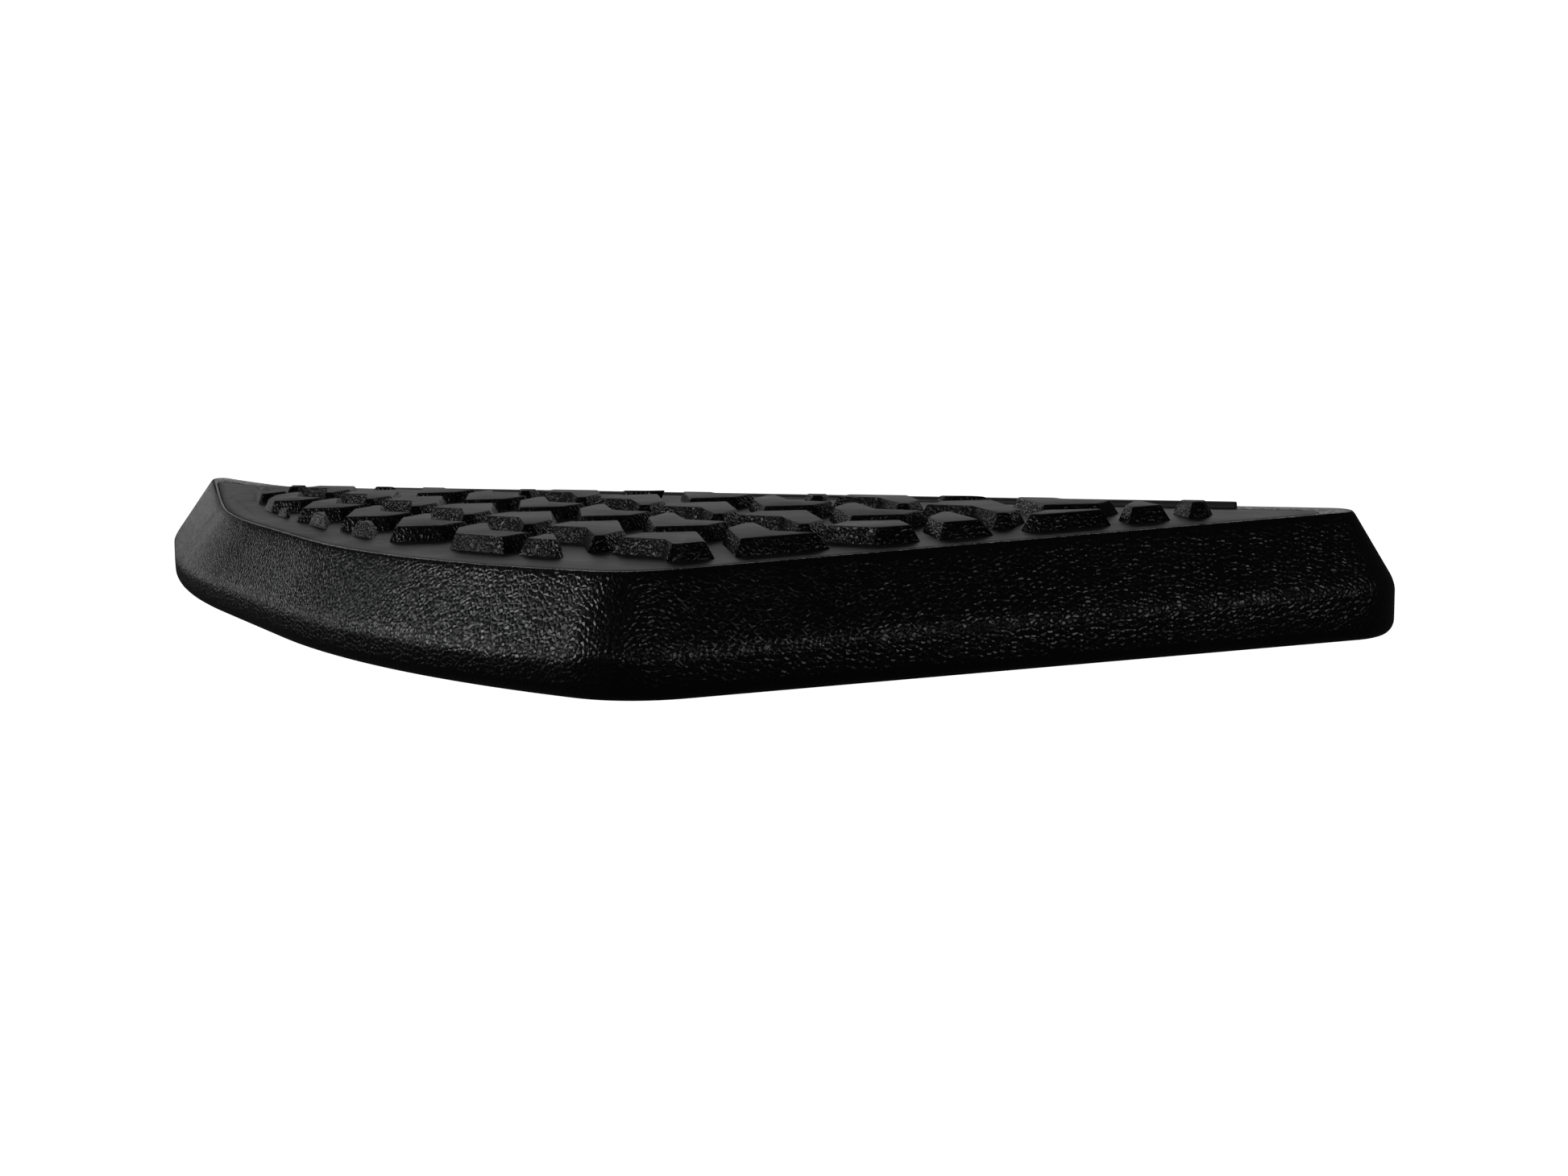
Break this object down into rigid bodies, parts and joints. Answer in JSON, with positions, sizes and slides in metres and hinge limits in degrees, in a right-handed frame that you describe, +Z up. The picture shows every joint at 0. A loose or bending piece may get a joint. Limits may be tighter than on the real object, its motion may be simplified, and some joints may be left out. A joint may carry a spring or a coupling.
{
  "type": "running board",
  "caption": "Short vehicle running board: a moulded cover with a sloping skirt and a swept end, an inlaid tyre-tread pad on top, and a steel frame with mounting plates underneath.",
  "frame": {"origin": "centre of the footprint, on the plane that the bottom rim stands on", "axes": "+X along the inner (vehicle-side) edge, +Y towards the vehicle, +Z up"},
  "size_m": [0.5552, 0.198, 0.0401],
  "materials": {
    "cover_plastic": "fine pebble grain, semi-matte",
    "tread_plastic": "smooth matte faces, grained sides",
    "black_rubber": "matte",
    "frame_steel": "black powder coat",
    "plug_plastic": "moulded, satin",
    "zinc_steel": "zinc plated",
    "spring_steel": "dark phosphate",
    "brass": "knurled"
  },
  "bodies": {
    "root": {"cover": "cover_plastic", "tread_pad": "tread_plastic", "edge_strip": "black_rubber", "push_nuts": "spring_steel", "main_beam": "frame_steel", "outer_beam": "frame_steel", "cross_member_left": "frame_steel", "cross_member_middle": "frame_steel", "cross_member_right": "frame_steel", "main_plug_left": "plug_plastic", "main_plug_right": "plug_plastic", "outer_plug_left": "plug_plastic", "outer_plug_right": "plug_plastic", "mount_plate_left": "zinc_steel", "mount_plate_right": "zinc_steel", "isolator_left": "black_rubber", "isolator_right": "black_rubber", "weld_nuts": "zinc_steel", "plate_screws": "zinc_steel", "cover_screws": "zinc_steel", "washers": "zinc_steel", "thread_inserts": "brass"}
  },
  "joints": []
}
